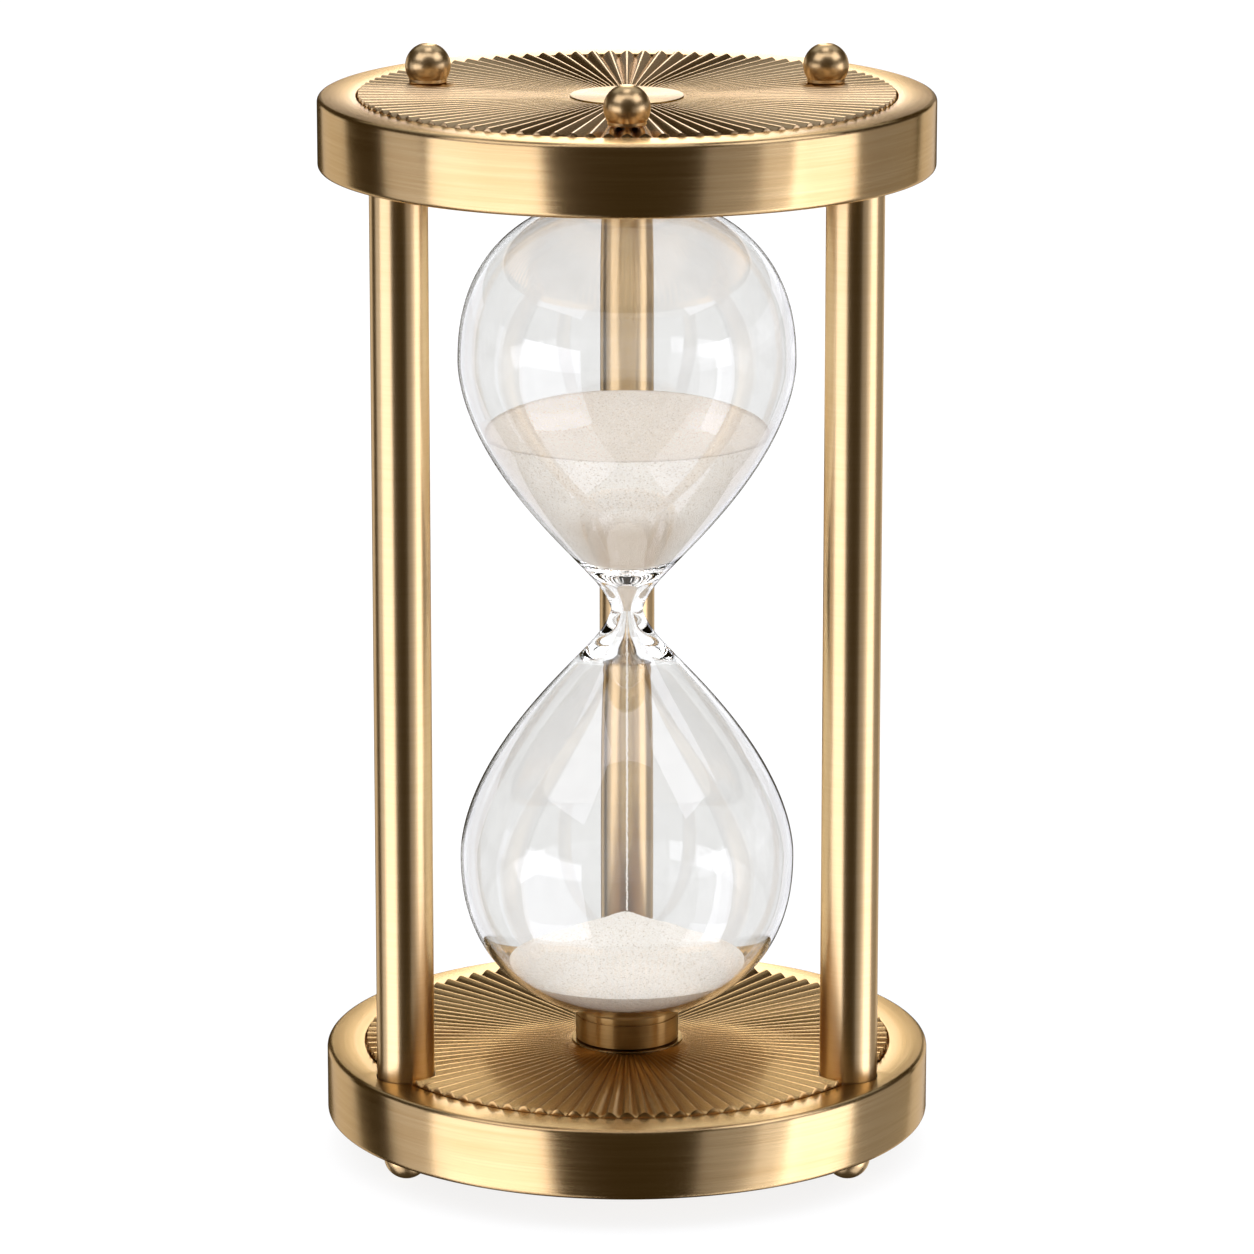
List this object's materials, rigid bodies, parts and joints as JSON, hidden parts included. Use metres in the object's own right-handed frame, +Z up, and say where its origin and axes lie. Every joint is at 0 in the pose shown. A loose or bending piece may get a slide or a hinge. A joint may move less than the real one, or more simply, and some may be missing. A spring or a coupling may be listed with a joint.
{
  "type": "hourglass",
  "caption": "Sand timer: one blown glass vessel with sand, held between two round brass plates by straight columns, with sunray discs and ball feet at both ends.",
  "frame": {"origin": "on the surface that the feet stand on, at the centre of the plates", "axes": "+Z up through the glass, +X to the right, -Y towards the side with two columns"},
  "size_m": [0.13, 0.13, 0.2379],
  "materials": {
    "brushed_brass": "satin, brushed round the rim",
    "fluted_brass": "satin, pressed sunray flutes",
    "collar_brass": "satin, turned",
    "column_brass": "satin, brushed round the rod",
    "polished_brass": "soft polish",
    "steel": "machined",
    "glass": "clear blown glass",
    "sand": "fine pale sand",
    "cork": "fine cork"
  },
  "bodies": {
    "root": {"lower_plate": "brushed_brass", "upper_plate": "brushed_brass", "lower_inner_disc": "fluted_brass", "lower_outer_disc": "fluted_brass", "upper_inner_disc": "fluted_brass", "upper_outer_disc": "fluted_brass", "lower_collar": "collar_brass", "upper_collar": "collar_brass", "lower_cushion": "cork", "upper_cushion": "cork", "lower_collar_screw": "steel", "upper_collar_screw": "steel", "column_front_left": "column_brass", "column_front_right": "column_brass", "column_back": "column_brass", "column_screw_front_left": "steel", "column_screw_front_right": "steel", "column_screw_back": "steel", "foot_front_left": "polished_brass", "foot_front_right": "polished_brass", "foot_back": "polished_brass", "foot_stud_front_left": "steel", "foot_stud_front_right": "steel", "foot_stud_back": "steel", "finial_front": "polished_brass", "finial_back_left": "polished_brass", "finial_back_right": "polished_brass", "finial_stud_front": "steel", "finial_stud_back_left": "steel", "finial_stud_back_right": "steel", "glass_vessel": "glass", "stopper": "cork", "upper_sand": "sand", "lower_sand": "sand", "sand_stream": "sand"}
  },
  "joints": []
}
